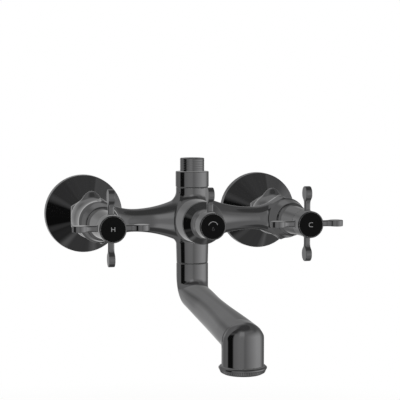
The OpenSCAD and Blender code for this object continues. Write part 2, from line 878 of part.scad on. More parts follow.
module shower_nipple() {
    color([0.42, 0.42, 0.43]) on_body() difference() {
        union() {
            span(nipple_thread_r, collar_top - nipple_in, collar_top + bite);
            span(stub_r, collar_top + seat_gap, collar_top + stub_h - stub_edge);
            taper(stub_r, stub_r - stub_edge, collar_top + stub_h - stub_edge, collar_top + stub_h);
        }
        span(neck_bore_r, collar_top - nipple_in - 1, collar_top + stub_h + 1);
    }
}

module shower_collar_seal() {
    color([0.1, 0.1, 0.1]) on_body()
        ring(neck_r - 0.5, shower_thread_r + 0.05, neck_top + seat_gap, collar_bottom - seat_gap);
}

module shower_nipple_seal() {
    from = collar_top - nipple_in - nipple_seal_t;
    color([0.1, 0.1, 0.1]) on_body()
        ring(nipple_thread_r - 0.1, neck_bore_r, from, from + nipple_seal_t - seat_gap);
}

// Puts the origin at the start of the level run, with +Z along it
module along_run() {
    translate([0, bend_end_y, bend_end_z]) rotate([180 - bend_angle, 0, 0]) children();
}

// Radius of the level run at the distance t along it: widest at its ends
function run_radius(t) = t < waist_at
    ? waist_r + (spout_r - waist_r) * pow(1 - t / waist_at, 2)
    : waist_r + (spout_end_r - waist_r) * pow((t - waist_at) / (run_len - waist_at), 2);

module run_solid() {
    steps = 20;
    along_run() rotate_extrude($fn = round_fn) polygon([
        [0, 0],
        for (i = [0 : steps]) [run_radius(run_len * i / steps), run_len * i / steps],
        [0, run_len]
    ]);
}

// A bend of the given tube radius, from straight down to the level run, with a plug that joins the two
module bend(r) {
    translate([0, -bend_r, bend_z]) rotate([-90, 0, 90]) rotate_extrude(angle = bend_angle, $fn = round_fn)
        translate([bend_r, 0]) circle(r = r, $fn = round_fn);
    along_run() span(r - 0.02, -bite, bite);
}

module spout() {
    color([0.4, 0.4, 0.41]) on_body() difference() {
        union() {
            span(spout_r, bend_z, spout_top);
            bend(spout_r);
            run_solid();
            translate([0, -spout_reach, outlet_z]) sphere(r = outlet_r, $fn = round_fn);
            translate([0, -spout_reach, 0]) span(outlet_r, outlet_end_z, outlet_z);
        }
        span(tail_r + seat_gap, tail_bottom - seat_gap, spout_top + 1);
        span(spout_bore_r, bend_z, spout_top);
        bend(bend_bore_r);
        along_run() span(spout_bore_r, 0, run_len - 4);
        translate([0, -spout_reach, 0]) {
            translate([0, 0, outlet_z]) sphere(r = outlet_r - outlet_wall, $fn = round_fn);
            span(outlet_r - outlet_wall, outlet_end_z - 1, outlet_z);
            span(outlet_bore_r, outlet_end_z - 1, outlet_end_z + outlet_bore_h);
        }
    }
}

// Tail of the spout: a sleeve that turns in the body, held by the grub screw in its groove
module spout_tail() {
    groove = tail_seal_section + 0.1;
    seal_floor = tail_r - 2 * tail_seal_section - seat_gap;
    color([0.75, 0.62, 0.36]) on_body() difference() {
        span(tail_r, tail_bottom, tail_top);
        span(tail_hole_r, tail_bottom - 1, tail_top + 1);
        for (z = tail_seals) ring(tail_r + 1, seal_floor, z - groove, z + groove);
        ring(tail_r + 1, tail_groove_r, tail_groove_z - tail_groove_w / 2, tail_groove_z + tail_groove_w / 2);
    }
}

module spout_tail_seals() {
    color([0.1, 0.1, 0.1]) on_body() o_rings(tail_r, tail_seal_section, tail_seals);
}

module spout_slide_ring() {
    color([0.9, 0.9, 0.88]) on_body()
        ring(spout_r - 0.7, tail_r + seat_gap, spout_top + seat_gap, -neck_bottom - run_gap);
}

// Grub screw in the back of the neck; its tip rides in the tail's groove
module spout_grub_screw() {
    thread_from = tail_r + 0.4;
    color([0.3, 0.3, 0.3]) on_body() translate([0, 0, tail_groove_z]) rotate([-90, 0, 0]) difference() {
        union() {
            span(grub_r, thread_from, neck_r - 0.6, small_fn);
            span(grub_tip_r, tail_groove_r + 0.4, thread_from + bite, small_fn);
        }
        span(1.15, neck_r - 2.2, neck_r + 1, 6);
    }
}

// Puts the origin on the outlet's axis, at its lower edge
module at_outlet() {
    on_body() translate([0, -spout_reach, outlet_end_z]) children();
}

// Knurled outline: a groove between each two flats
module knurl_outline() {
    polygon([
        for (i = [0 : knurls - 1], k = [0 : 2])
            let (a = 360 * (i + [0, 0.62, 0.81][k]) / knurls, r = k == 2 ? knurl_floor_r : ring_r)
            [r * cos(a), r * sin(a)]
    ]);
}

// Smooth bead over the knurl
module ring_bead() {
    edge = 0.45;
    rotate_extrude($fn = round_fn) polygon([
        [0, -bead_h],
        [ring_r - edge / 2, -bead_h],
        [ring_r, -bead_h + edge / 2],
        [ring_r, -2 * edge],
        [ring_r - 0.3 * edge, -1.3 * edge],
        [ring_r - edge, -0.75 * edge],
        [ring_r - 2.2 * edge, -seat_gap],
        [0, -seat_gap]
    ]);
}

// Knurled ring with the sleeve that screws up into the outlet and a lip that holds the insert
module aerator_ring() {
    color([0.36, 0.36, 0.37]) at_outlet() difference() {
        union() {
            ring_bead();
            intersection() {
                translate([0, 0, -ring_h]) linear_extrude(ring_h - bead_h + bite) knurl_outline();
                rotate_extrude($fn = round_fn) polygon([
                    [0, -ring_h],
                    [ring_r - ring_taper - ring_bevel, -ring_h],
                    [ring_r - ring_taper, -ring_h + ring_bevel],
                    [ring_r - 0.2, -bead_h],
                    [ring_r - 0.2, -bead_h + 2 * bite],
                    [0, -bead_h + 2 * bite]
                ]);
            }
            span(sleeve_r, -bite, sleeve_h);
        }
        span(lip_r, -ring_h - 1, sleeve_h);
        span(sleeve_bore_r, insert_from - seat_gap, sleeve_h + 1);
    }
}

// Aerator insert: a cup whose floor is a grid that straightens the water
module aerator_insert() {
    color([0.85, 0.85, 0.83]) at_outlet() difference() {
        span(insert_r, insert_from, screen_from - seat_gap);
        span(insert_r - insert_wall, insert_from + insert_floor, screen_from + 1);
        for (i = [-grid_reach : grid_reach], j = [-grid_reach : grid_reach])
            if (norm([i, j]) * grid_step < insert_r - insert_wall - grid_hole / 2)
                translate([i * grid_step, j * grid_step, insert_from])
                    cube([grid_hole, grid_hole, 3 * insert_floor], center = true);
    }
}

module aerator_screen() {
    color([0.7, 0.7, 0.7]) at_outlet() span(insert_r, screen_from, sleeve_h - seat_gap);
}

module aerator_washer() {
    color([0.1, 0.1, 0.1]) at_outlet()
        ring(outlet_bore_r - 0.1, sleeve_bore_r - 2.2, sleeve_h, sleeve_h + outlet_washer_t);
}

body();
flange(hot);  // hot_flange
flange(cold);  // cold_flange
wall_union(hot);  // hot_union
wall_union(cold);  // cold_union
union_nut(hot);  // hot_union_nut
union_nut(cold);  // cold_union_nut
inlet_washer(hot);  // hot_inlet_washer
inlet_washer(cold);  // cold_inlet_washer
valve_body(hot);  // hot_valve_body
valve_body(cold);  // cold_valve_body
seat_seal(hot);  // hot_seat_seal
seat_seal(cold);  // cold_seat_seal
fixed_disc(hot);  // hot_fixed_disc
fixed_disc(cold);  // cold_fixed_disc
moving_disc(hot);  // hot_moving_disc
moving_disc(cold);  // cold_moving_disc
spindle(hot);  // hot_spindle
spindle(cold);  // cold_spindle
spindle_seals(hot);  // hot_spindle_seals
spindle_seals(cold);  // cold_spindle_seals
spindle_clip(hot);  // hot_spindle_clip
spindle_clip(cold);  // cold_spindle_clip
bonnet(hot);  // hot_bonnet
bonnet(cold);  // cold_bonnet
handle(hot);  // hot_handle
handle(cold);  // cold_handle
handle_screw(hot);  // hot_handle_screw
handle_screw(cold);  // cold_handle_screw
index_cap(hot);  // hot_index_cap
index_cap(cold);  // cold_index_cap
diverter_body();
diverter_port_seal();
diverter_fixed_disc();
diverter_moving_disc();
diverter_spindle();
diverter_spindle_seals();
diverter_spindle_clip();
diverter_bonnet();
diverter_lever();
diverter_lever_screw();
diverter_index_cap();
shower_collar();
shower_nipple();
shower_collar_seal();
shower_nipple_seal();
spout();
spout_tail();
spout_tail_seals();
spout_slide_ring();
spout_grub_screw();
aerator_ring();
aerator_insert();
aerator_screen();
aerator_washer();
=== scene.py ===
# Wall mixer in dark polished plating: two cross handles, a diverter lever, a shower outlet and a low spout.
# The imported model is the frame. Shapes are worked out in millimetres: x to the right, a towards the user
# from the body's upright axis, z up from the handles' axis.
import json
import math
import bpy
import numpy as np
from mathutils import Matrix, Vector

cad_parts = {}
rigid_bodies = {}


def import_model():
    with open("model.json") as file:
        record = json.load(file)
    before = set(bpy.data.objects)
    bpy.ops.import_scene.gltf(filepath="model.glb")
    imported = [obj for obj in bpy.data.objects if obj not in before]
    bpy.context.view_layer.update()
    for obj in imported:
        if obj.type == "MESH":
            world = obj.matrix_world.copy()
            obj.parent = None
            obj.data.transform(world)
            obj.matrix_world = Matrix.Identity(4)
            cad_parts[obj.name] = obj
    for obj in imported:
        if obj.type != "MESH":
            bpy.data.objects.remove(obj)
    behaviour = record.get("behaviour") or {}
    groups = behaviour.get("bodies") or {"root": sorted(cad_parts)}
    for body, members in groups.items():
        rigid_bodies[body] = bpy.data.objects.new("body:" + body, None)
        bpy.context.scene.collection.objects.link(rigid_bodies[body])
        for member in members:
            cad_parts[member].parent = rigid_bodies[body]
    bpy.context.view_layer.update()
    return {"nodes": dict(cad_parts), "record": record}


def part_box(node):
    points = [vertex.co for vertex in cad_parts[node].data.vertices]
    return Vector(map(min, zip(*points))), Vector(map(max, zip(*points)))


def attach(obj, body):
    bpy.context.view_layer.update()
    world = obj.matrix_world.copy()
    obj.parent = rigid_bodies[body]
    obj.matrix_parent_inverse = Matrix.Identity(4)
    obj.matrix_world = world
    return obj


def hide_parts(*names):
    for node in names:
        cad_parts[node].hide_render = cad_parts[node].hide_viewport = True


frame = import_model()
bodyY = -0.076      # the body's upright axis, in front of the wall
inletHalf = 75      # each inlet's axis from the middle, mm
handleReach, leverReach = 68.2, 65.3    # faces of the caps in front of the body's axis, mm
outletReach = 144.7     # the outlet's axis in front of the body's, mm
slotOf = {part["node"]: part["material_slot"] for part in frame["record"]["subparts"]}
print("frame loaded:", len(frame["nodes"]), "nodes")


# ---------- materials ----------

def hexLinear(code):
    # sRGB hex to the linear values that shaders take
    channels = [int(code[i:i + 2], 16) / 255 for i in (1, 3, 5)]
    return tuple(c / 12.92 if c <= 0.04045 else ((c + 0.055) / 1.055) ** 2.4 for c in channels) + (1.0,)


def addNode(tree, kind, settings=None, links=None):
    # one node with its settings, and links from other nodes' outputs into its inputs
    node = tree.nodes.new(kind)
    for key, value in (settings or {}).items():
        if isinstance(key, str) and hasattr(node, key):
            setattr(node, key, value)
        else:
            node.inputs[key].default_value = value
    for key, source in (links or {}).items():
        tree.links.new(source, node.inputs[key])
    return node


def newMaterial(name, colour, metallic, roughness):
    material = bpy.data.materials.new(name)
    material.use_nodes = True
    material.diffuse_color = hexLinear(colour)
    shader = material.node_tree.nodes["Principled BSDF"]
    shader.inputs["Base Color"].default_value = hexLinear(colour)
    shader.inputs["Metallic"].default_value = metallic
    shader.inputs["Roughness"].default_value = roughness
    return material, material.node_tree, shader


def grain(tree, sizeMm, detail=2.0, stretch=(1, 1, 1), vector=None):
    # noise whose grain is that many millimetres, fixed to the piece; stretch flattens or sharpens it by axis
    if vector is None:
        vector = addNode(tree, "ShaderNodeTexCoord").outputs["Object"]
    place = addNode(tree, "ShaderNodeMapping", {"Scale": stretch}, {"Vector": vector})
    noise = addNode(tree, "ShaderNodeTexNoise", {"Scale": 1000 / sizeMm, "Detail": detail},
                    {"Vector": place.outputs["Vector"]})
    return noise.outputs["Fac"]


def spread(tree, shader, socket, source, low, high):
    # drives a number of the shader between two values
    reach = addNode(tree, "ShaderNodeMapRange", {"From Min": 0.3, "From Max": 0.7, "To Min": low, "To Max": high},
                    {"Value": source})
    tree.links.new(reach.outputs["Result"], shader.inputs[socket])


def shade(tree, shader, source, dark, light):
    # drives the base colour between two hex colours
    ramp = addNode(tree, "ShaderNodeValToRGB", {}, {"Fac": source})
    for element, place, code in zip(ramp.color_ramp.elements, (0.3, 0.7), (dark, light)):
        element.position, element.color = place, hexLinear(code)
    tree.links.new(ramp.outputs["Color"], shader.inputs["Base Color"])


def relief(tree, shader, source, depthMm, strength=0.5):
    # presses the source into the normals, that many millimetres deep
    bump = addNode(tree, "ShaderNodeBump", {"Strength": strength, "Distance": depthMm / 1000}, {"Height": source})
    tree.links.new(bump.outputs["Normal"], shader.inputs["Normal"])


plating = {"dark": "#919192", "light": "#979798", "rayDark": "#8c8c8d", "rayLight": "#959596", "rough": 0.05,
           "edgeTint": "#cbcbcb", "hazeMm": 24, "rippleMm": 3, "lineMm": 0.35}


def blackNickel(name, make):
    # black nickel over brass, bright but dark: a casting's buffed skin ripples softly, a turned skin has fine rings
    # across its axis, and a spun flange has faint rays from its middle
    material, tree, shader = newMaterial(name, plating["dark"], 1.0, plating["rough"])
    shader.inputs["Specular Tint"].default_value = hexLinear(plating["edgeTint"])
    haze = grain(tree, plating["hazeMm"])
    shade(tree, shader, haze, plating["dark"], plating["light"])
    if make == "buffed":
        spread(tree, shader, "Roughness", haze, plating["rough"] - 0.02, plating["rough"] + 0.03)
        relief(tree, shader, grain(tree, plating["rippleMm"], 1.0), 0.004, 0.3)
    elif make == "spun":
        place = addNode(tree, "ShaderNodeTexCoord")
        axes = addNode(tree, "ShaderNodeSeparateXYZ", {}, {0: place.outputs["Object"]})
        side = addNode(tree, "ShaderNodeMath", {"operation": "ABSOLUTE"}, {0: axes.outputs["X"]})
        fromAxis = addNode(tree, "ShaderNodeMath", {"operation": "SUBTRACT", 1: inletHalf / 1000}, {0: side.outputs[0]})
        flat = addNode(tree, "ShaderNodeCombineXYZ", {}, {"X": fromAxis.outputs[0], "Z": axes.outputs["Z"]})
        ray = addNode(tree, "ShaderNodeVectorMath", {"operation": "NORMALIZE"}, {0: flat.outputs[0]})
        rays = grain(tree, 90, 5.0, vector=ray.outputs[0])
        shade(tree, shader, rays, plating["rayDark"], plating["rayLight"])
        spread(tree, shader, "Roughness", rays, plating["rough"] - 0.01, plating["rough"] + 0.03)
    else:
        stretch = (0.02, 0.02, 1) if make == "turned upright" else (0.02, 1, 0.02)
        lines = grain(tree, plating["lineMm"], 2.0, stretch)
        spread(tree, shader, "Roughness", lines, plating["rough"] - 0.02, plating["rough"] + 0.04)
        relief(tree, shader, lines, 0.0006, 0.3)
    return material


def plainFinish(name, colours, metallic, rough, grainMm, depthMm=0.0, stretch=(1, 1, 1), sheen=0.5):
    # a finish whose colour and roughness vary together on one grain
    material, tree, shader = newMaterial(name, colours[0], metallic, rough[0])
    shader.inputs["Specular IOR Level"].default_value = sheen
    specks = grain(tree, grainMm, 3.0, stretch)
    shade(tree, shader, specks, *colours)
    spread(tree, shader, "Roughness", specks, *rough)
    if depthMm:
        relief(tree, shader, specks, depthMm)
    return material


finishes = {
    "buffed": blackNickel("black nickel, buffed casting", "buffed"),
    "upright": blackNickel("black nickel, turned upright", "turned upright"),
    "level": blackNickel("black nickel, turned level", "turned level"),
    "spun": blackNickel("black nickel, spun sheet", "spun"),
    # free-cutting brass as it leaves the lathe: yellow, with fine rings that blur what it mirrors
    "brass": plainFinish("free-cutting brass, turned", ("#b48d4a", "#c9a25c"), 1.0, (0.22, 0.34), 0.4, 0.002, (1, 1, 6)),
    # EPDM, moulded: near black and matt, with a fine pebble
    "rubber": plainFinish("EPDM rubber, moulded", ("#141414", "#1c1c1c"), 0.0, (0.6, 0.75), 0.5, 0.01),
    # alumina, lapped: ivory white and smooth
    "ceramic": plainFinish("alumina ceramic, lapped", ("#e6e2d6", "#eeebe2"), 0.0, (0.18, 0.28), 1.5),
    # ABS under a matt black lacquer: deep black, hardly any sheen
    "cap": plainFinish("ABS, black lacquered", ("#070708", "#0a0a0a"), 0.0, (0.36, 0.46), 2.0, 0.002, sheen=0.12),
    # A2 stainless, plain drawn: light grey and a little dull
    "steel": plainFinish("A2 stainless steel, drawn", ("#8f8f8f", "#a2a2a0"), 1.0, (0.28, 0.42), 0.5, 0.002),
    # acetal, moulded: milky white, waxy
    "acetal": plainFinish("acetal, moulded", ("#d2d1cc", "#dad9d5"), 0.0, (0.4, 0.5), 1.0, 0.003),
    "blackAcetal": plainFinish("black acetal, moulded", ("#101010", "#171717"), 0.0, (0.4, 0.5), 1.0, 0.003),
    # pad-printed ink: pale grey and flat, with slightly uneven cover
    "ink": plainFinish("epoxy ink, pad printed", ("#8f8f90", "#9d9d9e"), 0.0, (0.5, 0.65), 0.3, sheen=0.2),
    "paleInk": plainFinish("epoxy ink, thin print", ("#3f3f40", "#4a4a4b"), 0.0, (0.5, 0.65), 0.3, sheen=0.2),
}
bySlot = {"dark_plating": "buffed", "flange_plating": "spun", "brass": "brass", "seal_rubber": "rubber",
          "ceramic": "ceramic", "cap_black": "cap", "stainless": "steel", "acetal": "acetal",
          "black_acetal": "blackAcetal"}
for name, node in frame["nodes"].items():
    node.data.materials.clear()
    node.data.materials.append(finishes["blackAcetal" if name == "spout_slide_ring" else bySlot[slotOf[name]]])
print("materials made:", len(finishes))


# ---------- shape tools, all in millimetres ----------

def near(*terms):
    # distance from the origin of a plane or of space
    return np.sqrt(sum(t * t for t in terms))


def joined(a, b, fillet):
    # both solids, with a fillet of that radius in the corner between them
    inside = np.maximum(fillet - a, 0), np.maximum(fillet - b, 0)
    return np.maximum(fillet, np.minimum(a, b)) - near(*inside)


def common(a, b, edge):
    # what both solids hold, with its edge rounded
    outside = np.maximum(edge + a, 0), np.maximum(edge + b, 0)
    return np.minimum(-edge, np.maximum(a, b)) + near(*outside)


def carved(a, b, edge=0.1):
    # the first solid without the second
    return common(a, -b, edge)


def rod(radial, along, r, start, end, edge=0.1):
    # a round bar between two places along its axis
    return common(radial - r, np.abs(along - (start + end) / 2) - (end - start) / 2, edge)


def eased(t):
    # 0 to 1, soft at both ends
    t = np.clip(t, 0, 1)
    return t * t * (3 - 2 * t)


def smoothObject(name, points, faces, normals, material, body, replaced):
    # a piece from points in metres, with its true normals
    mesh = bpy.data.meshes.new(name)
    mesh.vertices.add(len(points))
    mesh.vertices.foreach_set("co", points.astype(np.float32).ravel())
    centre = points[faces[:, :3]]
    outward = np.cross(centre[:, 1] - centre[:, 0], centre[:, 2] - centre[:, 0])
    wrong = (outward * normals[faces[:, 0]]).sum(1) < 0
    faces = np.where(wrong[:, None], faces[:, ::-1], faces)
    size = faces.shape[1]
    mesh.loops.add(faces.size)
    mesh.loops.foreach_set("vertex_index", faces.astype(np.int32).ravel())
    mesh.polygons.add(len(faces))
    mesh.polygons.foreach_set("loop_start", np.arange(0, faces.size, size, dtype=np.int32))
    mesh.polygons.foreach_set("loop_total", np.full(len(faces), size, np.int32))
    mesh.update(calc_edges=True)
    mesh.shade_smooth()
    mesh.normals_split_custom_set_from_vertices(normals.astype(np.float32))
    piece = bpy.data.objects.new(name, mesh)
    bpy.context.scene.collection.objects.link(piece)
    mesh.materials.append(material)
    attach(piece, body)
    if replaced:
        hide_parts(*replaced)
    return piece


def gradient(shape, p, step=0.02):
    # slope of the shape's distance at each point
    out = np.empty_like(p)
    for k in range(3):
        shift = np.zeros(3)
        shift[k] = step
        out[:, k] = (shape(*(p + shift).T) - shape(*(p - shift).T)) / (2 * step)
    return out


def castMesh(shape, low, high, cell):
    # quads over the surface where shape(x, a, z) is zero: one point in each cell that it crosses,
    # drawn onto the surface afterwards
    low, high = np.array(low, float), np.array(high, float)
    counts = np.ceil((high - low) / cell).astype(int) + 1
    axes = [low[k] + cell * np.arange(counts[k]) for k in range(3)]
    # a coarse look at every third point finds the band that is worked out in full
    rough = shape(*np.meshgrid(*[axis[::3] for axis in axes], indexing="ij"))
    field = rough[np.ix_(*[np.minimum((np.arange(n) + 1) // 3, rough.shape[k] - 1) for k, n in enumerate(counts)])]
    close = np.argwhere(np.abs(field) < 4 * cell)
    for i in range(0, len(close), 400000):
        part = close[i:i + 400000]
        field[tuple(part.T)] = shape(*[axes[k][part[:, k]] for k in range(3)])
    solid = field < 0
    cells = counts - 1
    total, weight = np.zeros(tuple(cells) + (3,), np.float32), np.zeros(tuple(cells), np.float32)
    crossings = []
    for k in range(3):
        first = [slice(None)] * 3
        second = [slice(None)] * 3
        first[k], second[k] = slice(0, -1), slice(1, None)
        f0, f1 = field[tuple(first)], field[tuple(second)]
        crossed = solid[tuple(first)] != solid[tuple(second)]
        at = np.argwhere(crossed)
        share = (f0[crossed] / (f0[crossed] - f1[crossed]))[:, None]
        place = at.astype(np.float32)
        place[:, k:k + 1] += share
        others = [m for m in range(3) if m != k]
        for du in (0, 1):
            for dv in (0, 1):
                c = at.copy()
                c[:, others[0]] -= du
                c[:, others[1]] -= dv
                ok = np.all((c >= 0) & (c < cells), axis=1)
                np.add.at(total, tuple(c[ok].T), place[ok])
                np.add.at(weight, tuple(c[ok].T), 1)
        crossings.append((k, others, at, solid[tuple(first)][crossed]))
    used = weight > 0
    number = np.full(tuple(cells), -1, np.int64)
    number[used] = np.arange(used.sum())
    points = low + cell * (total[used] / weight[used][:, None])
    faces = []
    for k, others, at, inside in crossings:
        corner = []
        for du, dv in ((0, 0), (1, 0), (1, 1), (0, 1)):
            c = at.copy()
            c[:, others[0]] -= du
            c[:, others[1]] -= dv
            corner.append(c)
        ok = np.all([np.all((c >= 0) & (c < cells), axis=1) for c in corner], axis=0)
        quad = np.stack([number[tuple(c[ok].T)] for c in corner], axis=1)
        turn = inside[ok] if k != 1 else ~inside[ok]
        quad[~turn] = quad[~turn][:, ::-1]
        faces.append(quad)
    faces = np.concatenate(faces)
    points = points.astype(float)
    for _ in range(4):
        slope = gradient(shape, points)
        step = shape(*points.T)[:, None] * slope / np.maximum((slope ** 2).sum(1, keepdims=True), 0.05)
        points -= np.clip(step, -cell / 2, cell / 2)
    slope = gradient(shape, points)
    return points, faces, slope / np.maximum(np.linalg.norm(slope, axis=1, keepdims=True), 1e-9)


def placed(points, normals, shift=(0, 0, 0)):
    # from (x, a, z) in millimetres to the frame in metres
    points = points + np.array(shift)
    return (np.stack([points[:, 0], -points[:, 1], points[:, 2]], 1) * 0.001 + [0, bodyY, 0],
            normals * [1, -1, 1])


# ---------- turned pieces ----------

def turnedProfile(corners, steps=5):
    # a profile of (radius, height, corner radius) walked with the solid on its left; rounded corners keep
    # their true normals, so flats stay flat to the eye
    points, normals = [], []
    corners = [np.array(c, float) for c in corners]
    for before, here, after in zip(corners[:-2], corners[1:-1], corners[2:]):
        d0, d1 = here[:2] - before[:2], after[:2] - here[:2]
        d0, d1 = d0 / np.linalg.norm(d0), d1 / np.linalg.norm(d1)
        turn = math.atan2(d0[0] * d1[1] - d0[1] * d1[0], d0 @ d1)
        back = max(here[2], 0.01) * math.tan(abs(turn) / 2)
        side = math.copysign(1, turn)
        start = here[:2] - d0 * back
        centre = start + side * max(here[2], 0.01) * np.array([-d0[1], d0[0]])
        for k in range(steps + 1):
            angle = turn * k / steps
            c, s = math.cos(angle), math.sin(angle)
            d = np.array([d0[0] * c - d0[1] * s, d0[0] * s + d0[1] * c])
            points.append(centre + side * max(here[2], 0.01) * np.array([d[1], -d[0]]))
            normals.append(np.array([d[1], -d[0]]))
    return [corners[0][:2]] + points + [corners[-1][:2]], [normals[0]] + normals + [normals[-1]]


def spun(profile, normals, facets=144):
    # turns a profile about the z axis; gives points, faces and normals
    profile, normals = np.array(profile), np.array(normals)
    angle = np.linspace(0, 2 * math.pi, facets, endpoint=False)
    c, s = np.cos(angle)[:, None], np.sin(angle)[:, None]
    points = np.stack([profile[:, 0] * c, profile[:, 0] * s, np.broadcast_to(profile[:, 1], (facets, len(profile)))], 2)
    out = np.stack([normals[:, 0] * c, normals[:, 0] * s, np.broadcast_to(normals[:, 1], (facets, len(profile)))], 2)
    i = np.arange(facets)[:, None]
    j = np.arange(len(profile) - 1)[None, :]
    n = len(profile)
    faces = np.stack([i * n + j, (i + 1) % facets * n + j, (i + 1) % facets * n + j + 1, i * n + j + 1], 2)
    return points.reshape(-1, 3), faces.reshape(-1, 4), out.reshape(-1, 3)


def standing(points, normals, x=0.0, a=0.0, z=0.0):
    # a spun piece left upright
    return placed(points, normals, (x, a, z))


def facing(points, normals, x=0.0):
    # a spun piece laid down, its height pointing at the user
    turn = [0, 2, 1]
    return placed(points[:, turn], normals[:, turn], (x, 0, 0))


# ---------- the cast body ----------

casting = {"cell": 0.6, "armR": 8.85, "thinAt": 47.5, "innerSweep": 84, "outerSweep": 38, "hollowSweep": 90,
           "knobR": 3.8, "knobUp": 17.2, "neckR": 12.7, "bossR": 17, "bossFront": 36, "waterR": 5.4,
           "neckFillet": 5.0, "bossFillet": 1.6, "endFillet": 1.6, "knobFillet": 7.5, "rimEdge": 0.7, "noseEdge": 2.5}


def sweptRadius(t, thin, r):
    # radius and slope of a sweep that leaves a thin bar
    t = np.clip(t, 0, 0.97 * r)
    root = np.sqrt(r * r - t * t)
    return thin + r - root, t / root


def mixerBody(x, a, z):
    x = np.abs(x)
    u = x - inletHalf
    aboutX, aboutEnd, aboutNeck, aboutBoss = near(a, z), near(u, z), near(x, a), near(x, z)
    # arms: a long sweep to the middle, a short one to the end
    r, slope = sweptRadius(casting["thinAt"] - x, casting["armR"], casting["innerSweep"])
    full = casting["bossR"]
    r, slope = np.minimum(r, full), np.where(r < full, slope, 0)
    arm = common((aboutX - r) / np.sqrt(1 + slope ** 2), x - 74, 0.1)
    r, slope = sweptRadius(np.minimum(x - casting["thinAt"], 24.5), casting["armR"], casting["outerSweep"])
    front = (a - 9.3 + 0.0595 * (aboutEnd - 15.53)) / 1.002
    back = np.maximum((-a - 17.3 + 0.5216 * (aboutEnd - 15.3)) / 1.128, -a - 17.3)
    flare = common((aboutX - r) / np.sqrt(1 + slope ** 2), np.maximum(front, back), 0.8)
    flare = np.maximum(flare, np.maximum(x - 73, 46 - x))
    # each end: a barrel, the bell's mouth in front and the nut's seat behind
    hollow, swell, sweep = np.clip(a + 4.7, -12, 20), np.clip(a + 28, -16, 14), np.where(a > -28, 108.0, 40.0)
    bow = casting["hollowSweep"]
    hollowRoot, swellRoot = np.sqrt(bow ** 2 - hollow ** 2), np.sqrt(sweep ** 2 - swell ** 2)
    profile = np.where(a > -15.3, 105.14 - hollowRoot, 16.35 - sweep + swellRoot)
    barrel = (aboutEnd - profile) * np.where(a > -15.3, hollowRoot / bow, swellRoot / sweep)
    depth = np.clip(a, 9.4, 13.25) - 15.32
    root = np.sqrt(196 - depth ** 2)
    behind, ahead = (aboutEnd - 15.6 + 0.466 * (a - 9.4)) / 1.103, (aboutEnd - 14.44 + 0.15 * (a - 13.25)) / 1.011
    mouth = np.where(a < 9.4, behind, np.where(a < 13.25, (aboutEnd - 28.28 + root) * root / 14, ahead))
    bell = common(barrel, mouth, casting["rimEdge"])
    bell = common(common(bell, a - 24.6, casting["noseEdge"]), -38.4 - a, 0.5)
    seat = np.minimum(rod(aboutEnd, a, 10.6, -43, -37, 0.2), rod(aboutEnd, a, 12, -43, -40.9, 0.2))
    # the cast knob on top of each end
    knob = near(u, a + 29.9, z - casting["knobUp"]) - casting["knobR"]
    end = np.minimum(joined(bell, knob, casting["knobFillet"]), seat)
    # neck and boss
    neckR = np.minimum(casting["neckR"], 12.35 + (z + 33.9) * 0.35 / 14)
    neck = common(aboutNeck - neckR, np.abs(z + 4.35) - 29.55, 0.3)
    front = common(aboutBoss - full + 0.6 * (a - 1.5) / 34.5, a - casting["bossFront"], 0.4)
    boss = np.where(a < 1.5, near(aboutBoss, a - 1.5) - full, front)
    # the corner under the arms is tighter, the one over the boss is wider
    upright = (np.maximum(z, 0) ** 2 / (x * x + z * z + 1)) ** 2
    shape = joined(arm, neck, casting["neckFillet"] - 2 * np.clip(-z / 12, 0, 1))
    shape = joined(shape, boss, casting["bossFillet"] + 2.8 * upright)
    shape = joined(np.minimum(shape, flare), end, casting["endFillet"])
    # waterways and bores
    for r, start, stop in ((12.35, 23.85, 30), (11.7, 19.2, 30), (9.6, 11.5, 19.7), (10.6, -6, 12), (5, -9.5, -5.5),
                           (8, -50, -9)):
        shape = carved(shape, rod(aboutEnd, a, r, start, stop))
    for about, along, r, start, stop in ((aboutX, x, casting["waterR"], -1, inletHalf), (aboutBoss, a, 13, 18, 40),
                                         (aboutBoss, a, 4.2, 0, 18.5), (aboutNeck, z, 6.5, 8.8, 30),
                                         (aboutNeck, z, 10, 16.2, 30), (aboutNeck, z, 6.5, -15.5, -8.8),
                                         (aboutNeck, z, 9.45, -40, -15), (near(x, z + 23.2), a, 2.03, -20, 0),
                                         (near(x, np.abs(z) - 8), a, 2.8, 4, 18.5)):
        shape = carved(shape, rod(about, along, r, start, stop, 0.05))
    return shape


# ---------- the spout ----------

spoutShape = {"cell": 0.6, "bend": 85.3, "bendR": 14.5, "bendAt": -43.3, "tailR": 12.5, "length": 131.83, "waistAt": 50,
              "waistR": 11.6, "startSwell": 0.9, "endSwell": 1.2, "sag": 1.7, "top": 7.7, "topRise": 0.028,
              "boreR": 8.6, "crookFillet": 5.0, "outletR": 14.45, "outletFoot": -87.0, "outletHollow": 11.85,
              "shoulder": 9.0, "outletFillet": 1.7}


